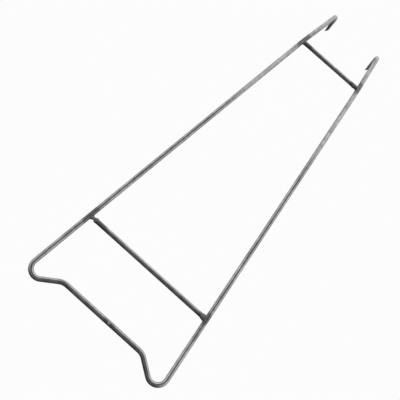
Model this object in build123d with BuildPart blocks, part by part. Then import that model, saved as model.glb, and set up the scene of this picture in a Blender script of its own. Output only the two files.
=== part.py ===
from build123d import *
import math
import os

os.makedirs("parts", exist_ok=True)

# Hook-on carry frame of bent round steel bar, for a rescue stretcher. Two side rods splay from
# their hooks towards a dog-legged handle bar. Each is bent from one length and brings its own half
# of the handle. Two cross rods stand between them, and five welds hold the four rods together.
# Row frame: +X to the right across the frame, +Y from the handle to the hooks, +Z up. The frame
# stands as it rests on a floor, on the tips of its hooks and on the two corners of its handle.

# Driving dimensions, in millimetres and degrees. "Up" is from the handle to the hooks.
BAR = 10.4              # diameter of the side rods
CROSS_BAR = 10.0        # diameter of the cross rods
SPLAY = 5.945           # slant of each side rod to the frame's long axis
HALF_WIDTH = 151.6      # long axis to a side rod's centreline, at the lower cross rod
CROSS_SPACING = 637.3   # lower cross rod up to the upper cross rod
HANDLE_DROP = 127.3     # lower cross rod down to the handle bar
HALF_GRIP = 90.3        # half of the straight handle bar, to the start of its bend
DOGLEG = 34.45          # slant of the leg between the handle bar and each corner
DOGLEG_RADIUS = 27.9    # centreline radius of the bend beside the handle bar
CORNER_RADIUS = 19.9    # centreline radius of the corner bend
NECK_TURN = {"left": 2.2, "right": 1.6}       # set of a side rod, inwards, above the upper cross rod
NECK_RADIUS = 400.0     # centreline radius of that set
HOOK_REACH = {"left": 117.5, "right": 107.6}  # upper cross rod up to a hook's far centreline
HOOK_LEAN = {"left": 8.5, "right": 2.5}       # lean of a hook's plane, inwards from square
HOOK_LEG = {"left": 32.0, "right": 29.0}      # straight return leg of a hook, along its middle
HOOK_RADIUS = 8.0       # centreline radius of a hook's turn
HOOK_OPEN = {"left": 62.0, "right": 55.0}     # how far a hook's turn stops short of a half turn
TIP_SLANT = 55.0        # slant of the sheared end of each hook, longer on its left side
TIP_CHAMFER = 0.5       # ground edge round that end
TIP_BELOW = 6.3         # lowest point of that end below its middle
TIP_WASTE = 10.0        # bar left past the middle of that end before it is sheared off
SHEAR_BLOCK = 30.0      # side of the block that shears it
JOIN_OFFSET = 15.0      # weld in the handle bar, to the right of the long axis
JOIN_LENGTH = 5.0       # length of that weld along the bar
JOIN_CROWN = 0.5        # how far that weld stands proud of the bar
FIT_UP = 0.8            # gap at a close-fitting cross rod end, filled by its weld
OPEN_GAP = 8.6          # gap at the lower left cross rod end, bridged by its weld

bar_radius = BAR / 2
cross_radius = CROSS_BAR / 2
splay = math.radians(SPLAY)
dogleg = math.radians(DOGLEG)
tip_slant = math.radians(TIP_SLANT)
sides = {"left": -1, "right": 1}


def rail_x(y):
    """Long axis to a side rod's centreline, at y above the lower cross rod."""
    return HALF_WIDTH - y * math.tan(splay)


# Where the right side rod's straight runs would meet, in the plane of the frame.
grip_end = HALF_GRIP + DOGLEG_RADIUS * math.tan(dogleg / 2)
leg_length = (rail_x(-HANDLE_DROP) - grip_end) / (
    math.cos(dogleg) - math.sin(dogleg) * math.tan(splay)
)
corner_y = -HANDLE_DROP - leg_length * math.sin(dogleg)
corner_x = rail_x(corner_y)

# Lowest centreline point of the corner bend, the frame's foot at the handle end.
half_inside = (math.pi / 2 - splay - dogleg) / 2
to_centre = CORNER_RADIUS / math.sin(half_inside)
foot_y = corner_y + to_centre * math.sin(dogleg + half_inside) - CORNER_RADIUS


def hook_points(side):
    """Neck, start, middle and end of a hook's turn, its leg's direction and its tip."""
    way = sides[side]
    lean = math.radians(HOOK_LEAN[side])
    hook_open = math.radians(HOOK_OPEN[side])
    slant = splay + math.radians(NECK_TURN[side])
    up = Vector(-way * math.sin(slant), math.cos(slant), 0)
    inwards = Vector(-way * math.cos(slant), -math.sin(slant), 0)
    down = inwards * math.sin(lean) - Vector(0, 0, math.cos(lean))
    neck = Vector(way * rail_x(CROSS_SPACING), CROSS_SPACING, 0)
    start = neck + up * ((HOOK_REACH[side] - HOOK_RADIUS) / math.cos(slant))
    centre = start + down * HOOK_RADIUS
    middle = centre + up * HOOK_RADIUS
    end = centre + (down * math.cos(hook_open) + up * math.sin(hook_open)) * HOOK_RADIUS
    leg_way = down * math.sin(hook_open) - up * math.cos(hook_open)
    return neck, start, middle, end, leg_way, end + leg_way * HOOK_LEG[side]


# Rest pose: how far the plane of the frame tips up towards the hooks, and where it then lies.
tips = [hook_points(side)[-1] for side in sides]
tip_lift = TIP_BELOW - bar_radius
rest_tilt = max(math.atan((tip_lift - tip.Z) / (tip.Y - foot_y)) for tip in tips)
lift = bar_radius - foot_y * math.sin(rest_tilt)
apex = max((hook_points(side)[2] for side in sides), key=lambda point: point.Y)
apex_y = apex.Y * math.cos(rest_tilt) - apex.Z * math.sin(rest_tilt)
middle_y = (foot_y * math.cos(rest_tilt) + apex_y) / 2
frame_plane = Plane(
    origin=(0, -middle_y, lift),
    x_dir=(1, 0, 0),
    z_dir=(0, -math.sin(rest_tilt), math.cos(rest_tilt)),
)


def place(x, y, z=0):
    """A point given in the plane of the frame, put where it rests."""
    return frame_plane.from_local_coords(Vector(x, y, z))


def aim(direction):
    """A direction given in the plane of the frame, turned with it."""
    return place(*direction) - frame_plane.origin


# Side rods: half of the handle bar, the dog leg, the corner, the long rail and the hook, whose
# end is sheared off at a slant and ground round its edge.
side_rods = {}
for side, way in sides.items():
    neck, start, middle, end, leg_way, tip = hook_points(side)
    shear_way = leg_way * math.cos(tip_slant) + Vector(math.sin(tip_slant), 0, 0)
    join_x = JOIN_OFFSET + way * JOIN_LENGTH / 2
    with BuildPart() as side_rod:
        with BuildLine():
            bends = FilletPolyline(
                place(join_x, -HANDLE_DROP),
                place(way * grip_end, -HANDLE_DROP),
                place(way * corner_x, corner_y),
                place(*neck),
                place(*start),
                radius=[DOGLEG_RADIUS, CORNER_RADIUS, NECK_RADIUS],
            )
            ThreePointArc(place(*start), place(*middle), place(*end))
            Line(place(*end), place(*(tip + leg_way * TIP_WASTE)))
        with BuildSketch(Plane(bends @ 0, z_dir=bends % 0)):
            Circle(bar_radius)
        sweep()
        with Locations(Plane(place(*tip), z_dir=aim(shear_way))):
            Box(SHEAR_BLOCK, SHEAR_BLOCK, SHEAR_BLOCK,
                align=(Align.CENTER, Align.CENTER, Align.MIN), mode=Mode.SUBTRACT)
        end_face = side_rod.faces().sort_by_distance(place(*tip))[0]
        chamfer(end_face.edges(), TIP_CHAMFER)
    side_rod.part.label = f"{side}_side_rod"
    export_step(side_rod.part, f"parts/{side}_side_rod.step")
    side_rods[side] = side_rod.part

# Cross rods: straight, sawn square, standing between the side rods in the plane of the frame.
LEVELS = {"lower": 0.0, "upper": CROSS_SPACING}
GAPS = {
    ("lower", "left"): OPEN_GAP,
    ("lower", "right"): FIT_UP,
    ("upper", "left"): FIT_UP,
    ("upper", "right"): FIT_UP,
}
cross_rods = {}
for level, y in LEVELS.items():
    rail_face = rail_x(y) - bar_radius / math.cos(splay)
    left_end = place(GAPS[level, "left"] - rail_face, y)
    right_end = place(rail_face - GAPS[level, "right"], y)
    with BuildPart() as cross_rod:
        with BuildSketch(Plane(left_end, z_dir=right_end - left_end)):
            Circle(cross_radius)
        extrude(amount=(right_end - left_end).length)
    cross_rod.part.label = f"{level}_cross_rod"
    export_step(cross_rod.part, f"parts/{level}_cross_rod.step")
    cross_rods[level] = cross_rod.part

# Welds at the cross rods' ends. Each is a stack of ovals strung along the cross rod, given as
# distance from the side rod's centreline, half width along the side rod and half height. The
# first oval is buried in the side rod, and the last stands just proud of the cross rod.
BEADS = {
    ("lower", "left"): [
        (2.4, 7.2, 4.0), (5.6, 5.9, 4.2), (8.0, 3.9, 3.7), (10.4, 3.4, 3.4),
        (12.0, 4.1, 4.1), (13.3, 5.3, 5.3), (16.2, 5.5, 5.5), (19.0, 5.3, 5.3),
    ],
    ("lower", "right"): [
        (2.4, 7.6, 4.2), (5.8, 7.0, 5.8), (8.8, 6.5, 6.2), (12.0, 5.8, 5.8), (15.4, 5.2, 5.2),
    ],
    ("upper", "left"): [(2.4, 6.6, 4.2), (5.4, 5.9, 5.4), (8.0, 5.2, 5.2)],
    ("upper", "right"): [
        (2.4, 6.4, 4.2), (5.4, 5.7, 5.3), (8.4, 5.2, 5.2),
        (12.0, 5.5, 5.5), (14.6, 5.6, 5.6), (17.4, 5.2, 5.2),
    ],
}
for (level, side), ovals in BEADS.items():
    way = sides[side]
    root = place(way * rail_x(LEVELS[level]), LEVELS[level])
    inwards = Plane(root, x_dir=frame_plane.y_dir, z_dir=(-way, 0, 0))
    with BuildPart() as weld:
        for distance, half_width, half_height in ovals:
            with BuildSketch(inwards.offset(distance)):
                Ellipse(half_width, half_height)
        loft(ruled=True)
        add(side_rods[side], mode=Mode.SUBTRACT)
        add(cross_rods[level], mode=Mode.SUBTRACT)
    weld.part.label = f"{level}_{side}_weld"
    export_step(weld.part, f"parts/{level}_{side}_weld.step")

# Butt weld of the handle bar: a short barrel of weld metal between the two side rods' ends.
half_join = JOIN_LENGTH / 2
crown_radius = bar_radius + JOIN_CROWN
join = Plane(place(JOIN_OFFSET, -HANDLE_DROP), x_dir=(1, 0, 0), z_dir=frame_plane.z_dir)
with BuildPart() as handle_weld:
    with BuildSketch(join):
        with BuildLine():
            Polyline((-half_join, bar_radius), (-half_join, 0), (half_join, 0), (half_join, bar_radius))
            ThreePointArc((half_join, bar_radius), (0, crown_radius), (-half_join, bar_radius))
        make_face()
    revolve(axis=Axis(join.origin, join.x_dir))
handle_weld.part.label = "handle_weld"
export_step(handle_weld.part, "parts/handle_weld.step")
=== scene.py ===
import bpy
import math
import random
from mathutils import Matrix, Quaternion, Vector


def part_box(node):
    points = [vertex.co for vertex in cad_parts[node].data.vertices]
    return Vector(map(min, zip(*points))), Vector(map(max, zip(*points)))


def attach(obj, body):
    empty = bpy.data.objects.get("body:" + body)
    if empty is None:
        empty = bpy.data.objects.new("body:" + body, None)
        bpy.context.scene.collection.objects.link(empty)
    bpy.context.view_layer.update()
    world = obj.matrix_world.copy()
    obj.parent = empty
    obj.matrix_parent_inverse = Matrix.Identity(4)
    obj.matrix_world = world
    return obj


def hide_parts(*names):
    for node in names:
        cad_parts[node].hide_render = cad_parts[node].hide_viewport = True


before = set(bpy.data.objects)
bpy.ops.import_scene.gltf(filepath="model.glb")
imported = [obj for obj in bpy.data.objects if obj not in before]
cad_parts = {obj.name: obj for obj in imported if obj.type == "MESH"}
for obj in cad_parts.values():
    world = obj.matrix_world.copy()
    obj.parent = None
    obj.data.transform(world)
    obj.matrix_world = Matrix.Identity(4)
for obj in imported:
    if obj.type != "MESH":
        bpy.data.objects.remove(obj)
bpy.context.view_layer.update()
bpy.ops.object.select_all(action="DESELECT")

# Camera: held a little over a metre above the handle end, looking down the frame to its hooks,
# and rolled so that the frame lies from corner to corner of the view.
AIM = Vector((-0.01368, -0.12473, 0.02022))
CAMERA_DISTANCE = 1.16892
CAMERA_BEARING = math.radians(3.508)
CAMERA_HEIGHT = math.radians(67.349)
CAMERA_ROLL = math.radians(38.568)
LENS = 51.46
away = Vector((
    math.sin(CAMERA_BEARING) * math.cos(CAMERA_HEIGHT),
    -math.cos(CAMERA_BEARING) * math.cos(CAMERA_HEIGHT),
    math.sin(CAMERA_HEIGHT),
))
bpy.ops.object.camera_add(location=AIM + away * CAMERA_DISTANCE)
camera = bpy.context.object
camera.data.lens = LENS
camera.rotation_mode = "QUATERNION"
camera.rotation_quaternion = away.to_track_quat("Z", "Y") @ Quaternion((0, 0, 1), CAMERA_ROLL)
bpy.context.scene.camera = camera
bpy.context.scene.view_settings.view_transform = "Standard"

# Surroundings: a bright white room round the sides and beyond the hooks, dark behind the camera.
# The room is seen plain white straight on, and only its reflections are graded.
ROOM_DARK = 0.085
ROOM_BRIGHT = 0.75
DARK_UNTIL = -0.71
BRIGHT_FROM = -0.09
FAR_END = (0.5, 0.8)
FAR_BRIGHTER = 0.2
BELOW = 0.62
BELOW_LEVEL = (-0.25, 0.05)
BACKDROP = 0.975


class Channel:
    """A number or a vector passed between shader nodes, with ordinary arithmetic on it."""

    def __init__(self, tree, socket):
        self.tree = tree
        self.socket = socket

    def math(self, operation, first, second):
        node = self.tree.nodes.new("ShaderNodeMath")
        node.operation = operation
        feed(self.tree, node.inputs[0], first)
        feed(self.tree, node.inputs[1], second)
        return Channel(self.tree, node.outputs[0])

    def __add__(self, other):
        return self.math("ADD", self, other)

    def __radd__(self, other):
        return self.math("ADD", other, self)

    def __sub__(self, other):
        return self.math("SUBTRACT", self, other)

    def __rsub__(self, other):
        return self.math("SUBTRACT", other, self)

    def __mul__(self, other):
        return self.math("MULTIPLY", self, other)

    def __rmul__(self, other):
        return self.math("MULTIPLY", other, self)

    def __truediv__(self, other):
        return self.math("DIVIDE", self, other)

    def __rtruediv__(self, other):
        return self.math("DIVIDE", other, self)

    def at_most(self, other):
        return self.math("MINIMUM", self, other)

    def at_least(self, other):
        return self.math("MAXIMUM", self, other)


def feed(tree, socket, value):
    """Sets a socket to a plain value, or links a channel into it."""
    if isinstance(value, Channel):
        tree.links.new(value.socket, socket)
    else:
        socket.default_value = value


class Surface:
    """The node tree of a material or of the world, filled one node at a time."""

    def __init__(self, owner):
        owner.use_nodes = True
        self.owner = owner
        self.tree = owner.node_tree

    def node(self, kind, settings, inputs, output=0):
        node = self.tree.nodes.new(kind)
        for name, value in settings.items():
            setattr(node, name, value)
        for name, value in inputs.items():
            feed(self.tree, node.inputs[name], value)
        return Channel(self.tree, node.outputs[output]) if node.outputs else None

    def ramp(self, value, low, high, to_low=0.0, to_high=1.0):
        """Eases from to_low to to_high as value goes from low to high."""
        return self.node("ShaderNodeMapRange", {"interpolation_type": "SMOOTHSTEP"}, {
            "Value": value, "From Min": low, "From Max": high, "To Min": to_low, "To Max": to_high,
        })


world = bpy.data.worlds.new("room")
bpy.context.scene.world = world
room = Surface(world)
room.tree.nodes.clear()
direction = room.node("ShaderNodeTexCoord", {}, {}, "Generated")
along = room.node("ShaderNodeSeparateXYZ", {}, {"Vector": direction}, "Y")
up = room.node("ShaderNodeSeparateXYZ", {}, {"Vector": direction}, "Z")
lit = room.ramp(along, DARK_UNTIL, BRIGHT_FROM, ROOM_DARK, ROOM_BRIGHT)
lit = lit + room.ramp(along, FAR_END[0], FAR_END[1], 0.0, FAR_BRIGHTER)
lit = lit * room.ramp(up, BELOW_LEVEL[0], BELOW_LEVEL[1], BELOW, 1.0)
graded = room.node("ShaderNodeBackground", {}, {"Strength": lit})
plain = room.node("ShaderNodeBackground", {}, {"Strength": BACKDROP})
seen = room.node("ShaderNodeLightPath", {}, {}, "Is Camera Ray")
shown = room.node("ShaderNodeMixShader", {}, {0: seen, 1: graded, 2: plain})
room.node("ShaderNodeOutputWorld", {}, {"Surface": shown})

# Floor: a white light table, lit evenly from below, so that nothing on it casts a shadow. The
# steel doesn't reflect it, and reflects the lower half of the room instead.
FLOOR_SIZE = 8.0
FLOOR_GLOW = 0.975
bpy.ops.mesh.primitive_plane_add(size=FLOOR_SIZE)
floor = bpy.context.object
floor.name = "light_table"
floor.visible_glossy = False
table = Surface(bpy.data.materials.new("light_table"))
shader = table.tree.nodes["Principled BSDF"]
shader.inputs["Base Color"].default_value = (0, 0, 0, 1)
shader.inputs["Specular IOR Level"].default_value = 0
shader.inputs["Emission Color"].default_value = (1, 1, 1, 1)
shader.inputs["Emission Strength"].default_value = FLOOR_GLOW
floor.data.materials.append(table.owner)

# Black card: hangs flat overhead, above the camera, so that bars facing up reflect a dark line.
# It is hidden from the camera, and takes no light from the floor.
CARD_WIDTH = 1.8
CARD_NEAR = -2.1
CARD_FAR = 0.87
CARD_HEIGHT = 1.5
CARD_GLOW = 0.137
bpy.ops.mesh.primitive_plane_add(size=1, location=(0, (CARD_NEAR + CARD_FAR) / 2, CARD_HEIGHT))
card = bpy.context.object
card.name = "black_card"
card.scale = (CARD_WIDTH, CARD_FAR - CARD_NEAR, 1)
card.visible_camera = False
card.visible_diffuse = False
card.visible_shadow = False
black = Surface(bpy.data.materials.new("black_card"))
shader = black.tree.nodes["Principled BSDF"]
shader.inputs["Base Color"].default_value = (0, 0, 0, 1)
shader.inputs["Specular IOR Level"].default_value = 0
shader.inputs["Emission Color"].default_value = (1, 1, 1, 1)
shader.inputs["Emission Strength"].default_value = CARD_GLOW
card.data.materials.append(black.owner)

# The frame's own plane: every bar is bent and welded flat, with x across the frame, y up from the
# lower cross rod and z out of the plane. The frame is tipped on to its hooks afterwards.
MM = 0.001
BAR_RADIUS = 5.2 * MM
CROSS_RADIUS = 5.0 * MM
FIT_UP = 0.8 * MM
lower_low, lower_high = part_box("lower_cross_rod")
upper_low, upper_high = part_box("upper_cross_rod")
lower_middle = (lower_low + lower_high) / 2
rise = (upper_low + upper_high) / 2 - lower_middle
tilt = math.atan2(rise.z, rise.y)
cross_spacing = math.hypot(rise.y, rise.z)
at_rest = Matrix.Translation((0, lower_middle.y, lower_middle.z)) @ Matrix.Rotation(tilt, 4, "X")
splay = math.atan2(lower_high.x - upper_high.x, cross_spacing)
half_width = lower_high.x + FIT_UP + BAR_RADIUS / math.cos(splay)
join_low, join_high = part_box("handle_weld")
join_x = (join_low.x + join_high.x) / 2
handle_drop = math.hypot(lower_middle.y - (join_low.y + join_high.y) / 2,
                         lower_middle.z - (join_low.z + join_high.z) / 2)


def rail_x(y):
    """Long axis of the frame to a side rod's centreline, at y above the lower cross rod."""
    return half_width - y * math.tan(splay)


# Steel of the bars: bright drawn mild steel, unpainted. Draw lines run along each bar, handling
# and damp have mottled it, and each weld's heat has left a dark tint in the steel round it. Each
# heated place is listed as x and y in the frame's plane, how far the tint reaches and its strength.
STEEL_SHADE = 0.62
STEEL_ROUGHNESS = 0.10
MOTTLE_SIZE = 9.0 * MM
MOTTLE_DEPTH = 0.70
LINE_WIDTH = 1.6 * MM
LINE_STRETCH = 0.04
LINE_DEPTH = 0.90
PIT_SIZE = 1.1 * MM
PIT_DEPTH = 0.35
PITTED = (0.60, 0.72)
UNEVEN = (0.35, 0.65)
UNEVEN_TINT = 0.35
TINT_CORE = 0.62
TINT_DEPTH = 0.66
WELD_IN = 7 * MM
HEATED = [
    (-rail_x(0) + WELD_IN, 0, 28 * MM, 1.0),
    (-rail_x(0) + 24 * MM, 0, 23 * MM, 1.0),
    (rail_x(0) - WELD_IN, 0, 19 * MM, 1.0),
    (-rail_x(cross_spacing) + WELD_IN, cross_spacing, 27 * MM, 1.0),
    (rail_x(cross_spacing) - WELD_IN, cross_spacing, 23 * MM, 1.0),
    (join_x, -handle_drop, 17 * MM, 0.5),
]
steel = Surface(bpy.data.materials.new("drawn_steel"))
place = steel.node("ShaderNodeTexCoord", {}, {}, "Object")
bar_line = steel.node("ShaderNodeAttribute", {"attribute_name": "bar_line"}, {}, "Vector")
stretched = steel.node("ShaderNodeVectorMath", {"operation": "MULTIPLY"}, {
    0: bar_line, 1: (1, 1, LINE_STRETCH),
})
lines = steel.node("ShaderNodeTexNoise", {}, {
    "Vector": stretched, "Scale": 1 / LINE_WIDTH, "Detail": 3.0, "Roughness": 0.6,
})
mottle = steel.node("ShaderNodeTexNoise", {}, {
    "Vector": place, "Scale": 1 / MOTTLE_SIZE, "Detail": 5.0, "Roughness": 0.62,
})
grime = steel.node("ShaderNodeTexNoise", {}, {
    "Vector": place, "Scale": 1 / (8 * MOTTLE_SIZE), "Detail": 2.0, "Roughness": 0.5,
})
pits = steel.node("ShaderNodeTexNoise", {}, {
    "Vector": place, "Scale": 1 / PIT_SIZE, "Detail": 2.0, "Roughness": 0.5,
})
pitted = steel.ramp(pits, PITTED[0], PITTED[1])
heat = 0
for x, y, reach, darkened in HEATED:
    centre = at_rest @ Vector((x, y, 0))
    distance = steel.node("ShaderNodeVectorMath", {"operation": "DISTANCE"}, {
        0: place, 1: tuple(centre),
    }, "Value")
    heat = steel.ramp(distance, reach, TINT_CORE * reach) * darkened + heat
uneven = steel.ramp(mottle, UNEVEN[0], UNEVEN[1])
tint = (heat * (1 - UNEVEN_TINT + uneven * UNEVEN_TINT)).at_most(1.0)
shade = STEEL_SHADE * (1 + (mottle - 0.5) * (2 * MOTTLE_DEPTH) + (grime - 0.5) * MOTTLE_DEPTH)
shade = shade * (1 + (lines - 0.5) * (2 * LINE_DEPTH))
shade = shade * (1 - pitted * PIT_DEPTH) * (1 - tint * TINT_DEPTH)
rough = STEEL_ROUGHNESS + (mottle - 0.5) * 0.10 + (lines - 0.5) * 0.08 + tint * 0.30 + pitted * 0.15
shader = steel.tree.nodes["Principled BSDF"]
shader.inputs["Metallic"].default_value = 1.0
feed(steel.tree, shader.inputs["Base Color"], shade)
feed(steel.tree, shader.inputs["Roughness"], rough.at_least(0.05))
dents = steel.node("ShaderNodeBump", {}, {
    "Height": mottle, "Distance": 0.25 * MM, "Strength": 0.6,
})
grained = steel.node("ShaderNodeBump", {}, {
    "Height": lines - pitted * 0.6, "Distance": 0.02 * MM, "Strength": 0.5, "Normal": dents,
})
feed(steel.tree, shader.inputs["Normal"], grained)

# Side rods: half of the handle bar, the dog leg, the corner, the long rail, a slight set inwards
# and the hook, all bent cold from one length of bar. The hook's leg thins towards its end, which
# is sheared off at a slant.
SIDES = 48
HALF_GRIP = 90.3 * MM
DOGLEG = math.radians(34.45)
DOGLEG_RADIUS = 27.9 * MM
CORNER_RADIUS = 19.9 * MM
JOIN_LENGTH = 5.0 * MM
NECK_RADIUS = 400.0 * MM
HOOK_RADIUS = 8.0 * MM
TIP_SLANT = math.radians(55)
TIP_GROUND = 0.4 * MM
TIP_WASTE = 10.0 * MM
HOOKS = {
    "left": {
        "way": -1, "set": 2.2, "reach": 117.5, "turn": 118.0, "lean": 8.5, "leg": 32.0, "taper": 0.60,
    },
    "right": {
        "way": 1, "set": 1.6, "reach": 107.6, "turn": 125.0, "lean": 2.5, "leg": 29.0, "taper": 0.55,
    },
}


class Bar:
    """A round bar drawn out of one disc, run by run and bend by bend, in the frame's plane."""

    def __init__(self, name, radius, start, heading):
        turned = heading.to_track_quat("Z", "Y")
        bpy.ops.mesh.primitive_circle_add(
            vertices=SIDES, radius=radius, fill_type="NGON", location=start,
            rotation=turned.to_euler(),
        )
        self.piece = bpy.context.object
        self.piece.name = name
        bpy.ops.object.transform_apply(location=True, rotation=True, scale=True)
        bpy.ops.object.mode_set(mode="EDIT")
        bpy.ops.mesh.select_all(action="SELECT")
        self.here = start.copy()
        self.heading = heading.copy()
        self.across = turned @ Vector((1, 0, 0))
        self.travelled = 0.0
        self.rings = []
        self.note_ring()

    def note_ring(self):
        self.rings.append((self.here.copy(), self.heading.copy(), self.across.copy(), self.travelled))

    def run(self, length, steps=1):
        for _ in range(steps):
            step = self.heading * (length / steps)
            bpy.ops.mesh.extrude_region_move(TRANSFORM_OT_translate={"value": step})
            self.here += step
            self.travelled += length / steps
            self.note_ring()

    def bend(self, axis, radius, angle, steps):
        centre = self.here + axis.cross(self.heading) * radius
        bpy.ops.mesh.spin(steps=steps, angle=-angle, center=centre, axis=axis)
        turn = Quaternion(axis, angle / steps)
        for _ in range(steps):
            self.here = centre + turn @ (self.here - centre)
            self.heading = turn @ self.heading
            self.across = turn @ self.across
            self.travelled += radius * angle / steps
            self.note_ring()

    def straighten(self):
        """Writes where each point would lie if the bar were straight again, for the draw lines."""
        bpy.ops.object.mode_set(mode="OBJECT")
        mesh = self.piece.data
        line = mesh.attributes.new("bar_line", "FLOAT_VECTOR", "POINT")
        for number, vertex in enumerate(mesh.vertices):
            here, heading, across, travelled = self.rings[number // SIDES]
            offset = vertex.co - here
            line.data[number].vector = (
                offset.dot(across), offset.dot(heading.cross(across)), travelled,
            )


def select_points(piece, wanted):
    """In edit mode afterwards, with only the wanted points selected, and what they bound."""
    bpy.ops.object.mode_set(mode="EDIT")
    bpy.ops.mesh.select_mode(type="VERT")
    bpy.ops.mesh.select_all(action="DESELECT")
    bpy.ops.object.mode_set(mode="OBJECT")
    for vertex in piece.data.vertices:
        vertex.select = wanted(vertex)
    bpy.ops.object.mode_set(mode="EDIT")
    bpy.ops.mesh.select_mode(type="VERT")


def stand_at_rest(piece, material, slot, *nodes):
    """Closes a finished piece off: normals, smoothing, finish, its resting place and its frame."""
    bpy.ops.object.mode_set(mode="EDIT")
    bpy.ops.mesh.select_all(action="SELECT")
    bpy.ops.mesh.normals_make_consistent(inside=False)
    bpy.ops.object.mode_set(mode="OBJECT")
    bpy.ops.object.shade_smooth_by_angle(angle=math.radians(35))
    piece.data.materials.clear()
    piece.data.materials.append(material)
    piece.matrix_world = at_rest
    bpy.ops.object.transform_apply(location=True, rotation=True, scale=True)
    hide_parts(*nodes)
    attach(piece, "root")
    bpy.ops.object.select_all(action="DESELECT")


corner_turn = math.pi / 2 + splay + DOGLEG
corner_cut = CORNER_RADIUS * math.tan(corner_turn / 2)
dogleg_cut = DOGLEG_RADIUS * math.tan(DOGLEG / 2)
grip_end = HALF_GRIP + dogleg_cut
leg_length = (rail_x(-handle_drop) - grip_end) / (math.cos(DOGLEG) - math.sin(DOGLEG) * math.tan(splay))
corner_y = -handle_drop - leg_length * math.sin(DOGLEG)
for side, hook in HOOKS.items():
    way = hook["way"]
    plane_axis = Vector((0, 0, way))
    inward_set = math.radians(hook["set"])
    set_cut = NECK_RADIUS * math.tan(inward_set / 2)
    rail_length = (cross_spacing - corner_y) / math.cos(splay)
    neck_slant = splay + inward_set
    neck_length = (hook["reach"] * MM - HOOK_RADIUS) / math.cos(neck_slant)
    start = Vector((join_x + way * JOIN_LENGTH / 2, -handle_drop, 0))
    rod = Bar(f"{side}_side_rod_bar", BAR_RADIUS, start, Vector((way, 0, 0)))
    rod.run(HALF_GRIP - abs(start.x) if way * start.x > 0 else HALF_GRIP + abs(start.x), 6)
    rod.bend(-plane_axis, DOGLEG_RADIUS, DOGLEG, 10)
    rod.run(leg_length - dogleg_cut - corner_cut)
    rod.bend(plane_axis, CORNER_RADIUS, corner_turn, 24)
    rod.run(rail_length - corner_cut - set_cut, 24)
    rod.bend(plane_axis, NECK_RADIUS, inward_set, 3)
    rod.run(neck_length - set_cut, 4)
    lean = math.radians(hook["lean"])
    inwards = Vector((-way * math.cos(neck_slant), -math.sin(neck_slant), 0))
    down = inwards * math.sin(lean) - Vector((0, 0, math.cos(lean)))
    rod.bend(rod.heading.cross(down), HOOK_RADIUS, math.radians(hook["turn"]), 24)
    tip = rod.here + rod.heading * hook["leg"] * MM
    rod.run(hook["leg"] * MM + TIP_WASTE)
    bpy.ops.transform.resize(value=(hook["taper"], hook["taper"], hook["taper"]))
    rod.straighten()
    shear = rod.heading * math.cos(TIP_SLANT) + Vector((math.sin(TIP_SLANT), 0, 0))
    leg_points = (len(rod.rings) - 2) * SIDES
    select_points(rod.piece, lambda vertex: vertex.index >= leg_points)
    bpy.ops.mesh.bisect(plane_co=tip, plane_no=shear, use_fill=True, clear_outer=True)
    bpy.ops.mesh.bevel(offset=TIP_GROUND, segments=3, affect="EDGES")
    stand_at_rest(rod.piece, steel.owner, "side_rod_steel", f"{side}_side_rod")

# Cross rods: straight bar, sawn square, with the saw's burr filed off. They stand between the
# side rods in the plane of the frame, and the lower one was cut short at its left end.
FILED = 0.35 * MM
CROSS_RODS = {
    "lower": (lower_low.x, lower_high.x, 0),
    "upper": (upper_low.x, upper_high.x, cross_spacing),
}
for level, (left_end, right_end, y) in CROSS_RODS.items():
    start = Vector((left_end, y, 0))
    rod = Bar(f"{level}_cross_rod_bar", CROSS_RADIUS, start, Vector((1, 0, 0)))
    rod.run(right_end - left_end, 8)
    rod.straighten()
    for end in (left_end, right_end):
        select_points(rod.piece, lambda vertex: abs(vertex.co.x - end) < FILED)
        bpy.ops.mesh.bevel(offset=FILED, segments=2, affect="EDGES")
        bpy.ops.object.mode_set(mode="OBJECT")
    stand_at_rest(rod.piece, steel.owner, "cross_rod_steel", f"{level}_cross_rod")

# Weld metal: arc weld left as laid, grey with oxide and rippled, with patches rubbed brighter. The
# handle's weld has been dressed, so its metal is bare all over.
WELD_SHADE = 0.30
WELD_BARE = 0.58
WELD_ROUGHNESS = 0.30
OXIDE_SIZE = 2.2 * MM
OXIDE_THIN = (0.48, 0.66)
RIPPLE_SIZE = 0.8 * MM
DRESSED_NEAR = 9 * MM
DRESSED_FAR = 12 * MM
weld_metal = Surface(bpy.data.materials.new("weld_metal"))
place = weld_metal.node("ShaderNodeTexCoord", {}, {}, "Object")
oxide = weld_metal.node("ShaderNodeTexNoise", {}, {
    "Vector": place, "Scale": 1 / OXIDE_SIZE, "Detail": 4.0, "Roughness": 0.6,
})
ripple = weld_metal.node("ShaderNodeTexNoise", {}, {
    "Vector": place, "Scale": 1 / RIPPLE_SIZE, "Detail": 3.0, "Roughness": 0.55,
})
dressed = weld_metal.node("ShaderNodeVectorMath", {"operation": "DISTANCE"}, {
    0: place, 1: tuple(at_rest @ Vector((join_x, -handle_drop, 0))),
}, "Value")
rubbed = weld_metal.ramp(oxide, OXIDE_THIN[0], OXIDE_THIN[1])
bare = (rubbed + weld_metal.ramp(dressed, DRESSED_FAR, DRESSED_NEAR)).at_most(1.0)
shader = weld_metal.tree.nodes["Principled BSDF"]
shader.inputs["Metallic"].default_value = 1.0
feed(weld_metal.tree, shader.inputs["Base Color"],
     WELD_SHADE * (0.75 + ripple * 0.5) + bare * (WELD_BARE - WELD_SHADE))
feed(weld_metal.tree, shader.inputs["Roughness"], WELD_ROUGHNESS + (1 - bare) * 0.16 + (ripple - 0.5) * 0.2)
feed(weld_metal.tree, shader.inputs["Normal"], weld_metal.node("ShaderNodeBump", {}, {
    "Height": ripple, "Distance": 0.12 * MM, "Strength": 0.7,
}))

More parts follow.
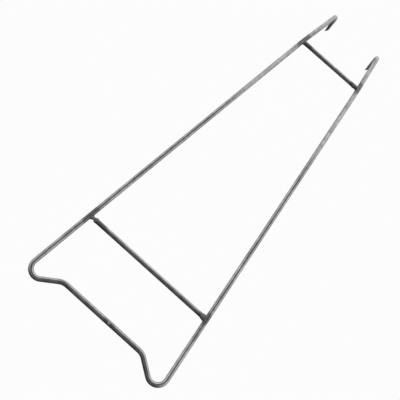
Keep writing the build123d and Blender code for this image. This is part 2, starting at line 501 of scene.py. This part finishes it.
# Welds: weld metal laid round each joint in overlapping lumps, one arc stop after another. Each
# is listed as ovals strung along its rod, as distance from the side rod's centreline, half width
# and half height. The lower left one bridges a gap with a thin neck, and the handle's is a butt.
OVALS = {
    "lower_left_weld": [
        (2.8, 6.9, 4.0), (5.4, 5.6, 4.1), (7.4, 4.1, 3.7), (9.2, 3.3, 3.3), (11.0, 3.4, 3.4),
        (12.4, 4.2, 4.2), (13.8, 5.3, 5.3), (15.6, 5.55, 5.55), (17.4, 5.4, 5.4),
    ],
    "lower_right_weld": [
        (2.8, 7.4, 4.2), (5.0, 7.0, 5.6), (7.2, 6.7, 6.1),
        (9.4, 6.3, 6.1), (11.6, 5.8, 5.8), (13.6, 5.3, 5.3),
    ],
    "upper_left_weld": [(2.8, 6.3, 4.2), (4.8, 5.8, 5.3), (6.6, 5.3, 5.3)],
    "upper_right_weld": [
        (2.8, 6.2, 4.2), (4.8, 5.6, 5.2), (8.0, 5.0, 5.0),
        (12.0, 5.4, 5.4), (14.0, 5.55, 5.55), (15.8, 5.3, 5.3),
    ],
    "handle_weld": [(-2.2, 5.2, 5.2), (-0.8, 5.45, 5.45), (0.9, 5.5, 5.5), (2.3, 5.2, 5.2)],
}
DRESSED = ("handle_weld",)
JOINTS = {
    "lower_left_weld": (-1, 0),
    "lower_right_weld": (1, 0),
    "upper_left_weld": (-1, cross_spacing),
    "upper_right_weld": (1, cross_spacing),
}
OVAL_HALF = 1.5 * MM
LUMP_RADIUS = 1.0 * MM
LUMP_PITCH = 1.9 * MM
LUMP_SINK = 0.75
SHAKE = 0.35 * MM
WELD_VOXEL = 0.26 * MM
WELD_LUMPS = 0.30 * MM
SPATTER_BALLS = 9
SPATTER_NEAR = 8.0 * MM
SPATTER_FAR = 24.0 * MM
SPATTER_SINK = 0.2
PAST_WELD = 5 * MM
ON_CROSS_ROD = 0.4


def ball(centre, half_sizes, segments=16):
    bpy.ops.mesh.primitive_uv_sphere_add(
        segments=segments, ring_count=segments // 2 + 1, radius=1, location=centre, scale=half_sizes,
    )
    return bpy.context.object


def joined(parts, name):
    """Several parts as one object with its size and place in its mesh."""
    bpy.ops.object.select_all(action="DESELECT")
    for part in parts:
        part.select_set(True)
    bpy.context.view_layer.objects.active = parts[0]
    bpy.ops.object.join()
    whole = bpy.context.object
    whole.name = name
    bpy.ops.object.transform_apply(location=True, rotation=True, scale=True)
    return whole


ripples = bpy.data.textures.new("weld_ripples", "CLOUDS")
ripples.noise_scale = 2.0 * MM
ripples.noise_depth = 2
for number, (name, ovals) in enumerate(OVALS.items()):
    hand = random.Random(number + 3)
    way, y = JOINTS.get(name, (0, -handle_drop))
    root = Vector((way * rail_x(y) if way else join_x, y, 0))
    inwards = Vector((-way if way else 1, 0, 0))
    parts = []
    for distance, half_wide, half_high in ovals:
        middle = root + inwards * distance * MM
        parts.append(ball(middle, (OVAL_HALF, half_wide * MM, half_high * MM), 32))
        lumps = 0 if name in DRESSED else round(math.pi * (half_wide + half_high) * MM / LUMP_PITCH)
        for lump in range(lumps):
            around = 2 * math.pi * (lump + hand.random() * 0.6) / lumps
            size = LUMP_RADIUS * hand.uniform(0.8, 1.25)
            centre = middle + Vector((
                hand.uniform(-SHAKE, SHAKE),
                (half_wide * MM - size * LUMP_SINK) * math.cos(around),
                (half_high * MM - size * LUMP_SINK) * math.sin(around),
            ))
            parts.append(ball(centre, (size, size, size)))
    bead = joined(parts, name + "_bead")
    remesh = bead.modifiers.new("fuse", "REMESH")
    remesh.mode = "VOXEL"
    remesh.voxel_size = WELD_VOXEL
    bpy.ops.object.modifier_apply(modifier=remesh.name)
    smooth = bead.modifiers.new("settle", "SMOOTH")
    smooth.factor = 0.5
    smooth.iterations = 3
    bpy.ops.object.modifier_apply(modifier=smooth.name)
    shake = bead.modifiers.new("ripple", "DISPLACE")
    shake.texture = ripples
    shake.texture_coords = "LOCAL"
    shake.strength = WELD_LUMPS
    bpy.ops.object.modifier_apply(modifier=shake.name)
    bpy.ops.object.shade_smooth()
    spatter = [bead]
    for _ in range(SPATTER_BALLS):
        size = hand.uniform(0.25, 0.6) * MM
        reach = hand.uniform(SPATTER_NEAR, SPATTER_FAR)
        around = hand.uniform(0, 2 * math.pi)
        on_cross_rod = way == 0 or hand.random() < ON_CROSS_ROD
        radius = (CROSS_RADIUS if way else BAR_RADIUS) if on_cross_rod else BAR_RADIUS
        out = radius - size * SPATTER_SINK
        if on_cross_rod:
            side_way = 1 if way else hand.choice((-1, 1))
            spot = root + inwards * side_way * (reach + PAST_WELD if way else reach)
            spot += Vector((0, out * math.cos(around), out * math.sin(around)))
        else:
            up_down = hand.choice((-1, 1))
            spot_y = y + up_down * reach
            spot = Vector((way * rail_x(spot_y), spot_y, 0))
            spot += Vector((out * math.cos(around), 0, out * math.sin(around)))
        spatter.append(ball(spot, (size, size, size), 8))
    bead = joined(spatter, name + "_bead")
    stand_at_rest(bead, weld_metal.owner, "weld_metal", name)
